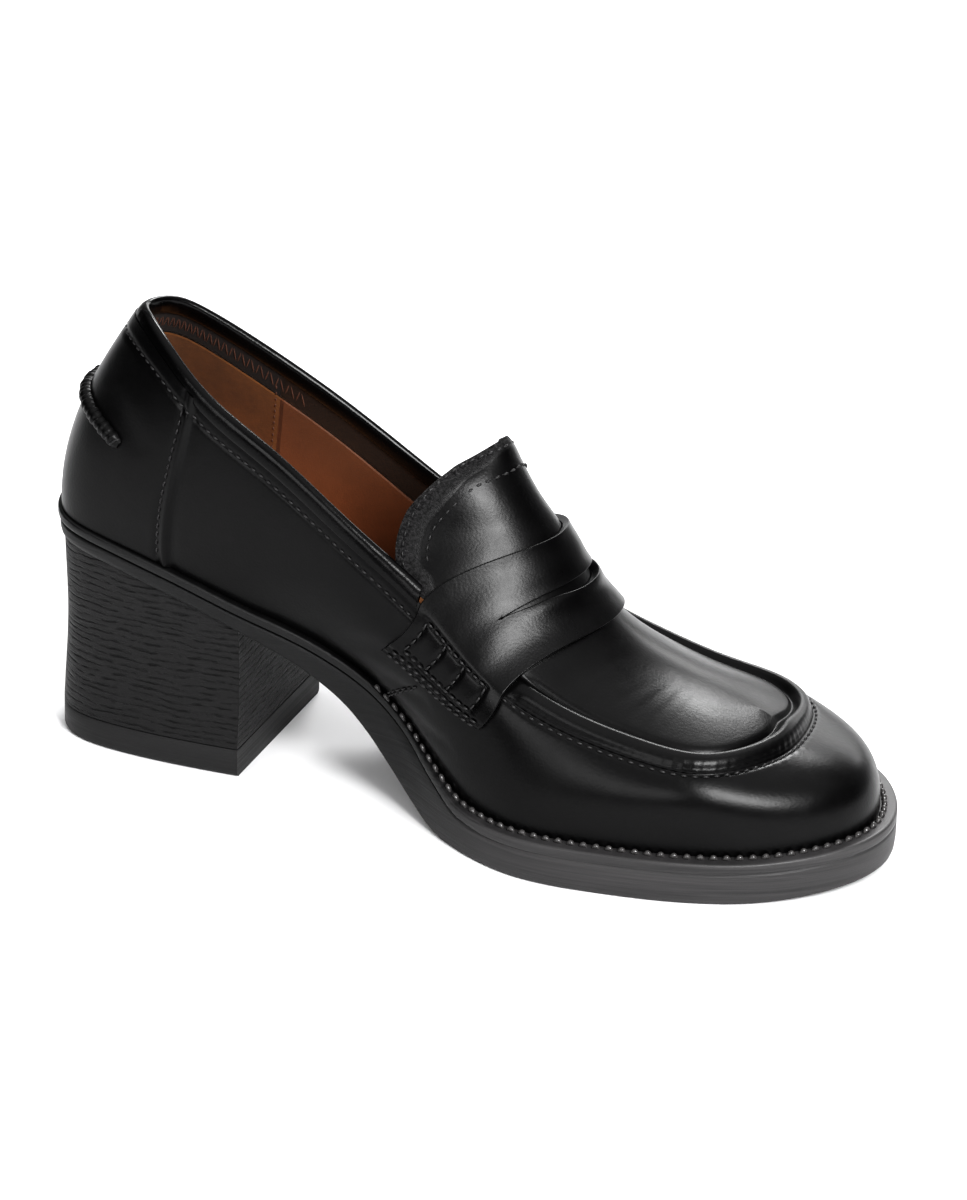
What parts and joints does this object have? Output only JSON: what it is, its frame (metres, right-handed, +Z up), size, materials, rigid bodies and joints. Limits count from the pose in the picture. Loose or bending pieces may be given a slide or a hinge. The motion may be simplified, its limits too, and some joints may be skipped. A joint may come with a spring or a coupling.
{
  "type": "loafer pump",
  "caption": "Women's loafer pump with a block heel, a platform front, a moc toe, and a saddle strap over a tongue; hollow inside.",
  "frame": {"origin": "on the floor, under the middle of the shoe's box", "axes": "+X to the toe, +Y to the outer side of this left shoe, +Z up"},
  "size_m": [0.2388, 0.0986, 0.1246],
  "materials": {
    "upper": "semi-gloss black",
    "tongue": "semi-gloss black",
    "saddle_strap": "semi-gloss black",
    "collar_binding": "semi-gloss black",
    "back_seam": "semi-gloss black",
    "insole": "matte tan",
    "midsole": "matte black",
    "outsole": "matte black",
    "heel_block": "matte black, stacked grain",
    "heel_lift": "matte black"
  },
  "bodies": {
    "root": {"upper": "upper", "tongue": "tongue", "saddle_strap": "saddle_strap", "collar_binding": "collar_binding", "back_seam": "back_seam", "insole": "insole", "midsole": "midsole", "outsole": "outsole", "heel_block": "heel_block", "heel_lift": "heel_lift"}
  },
  "joints": []
}
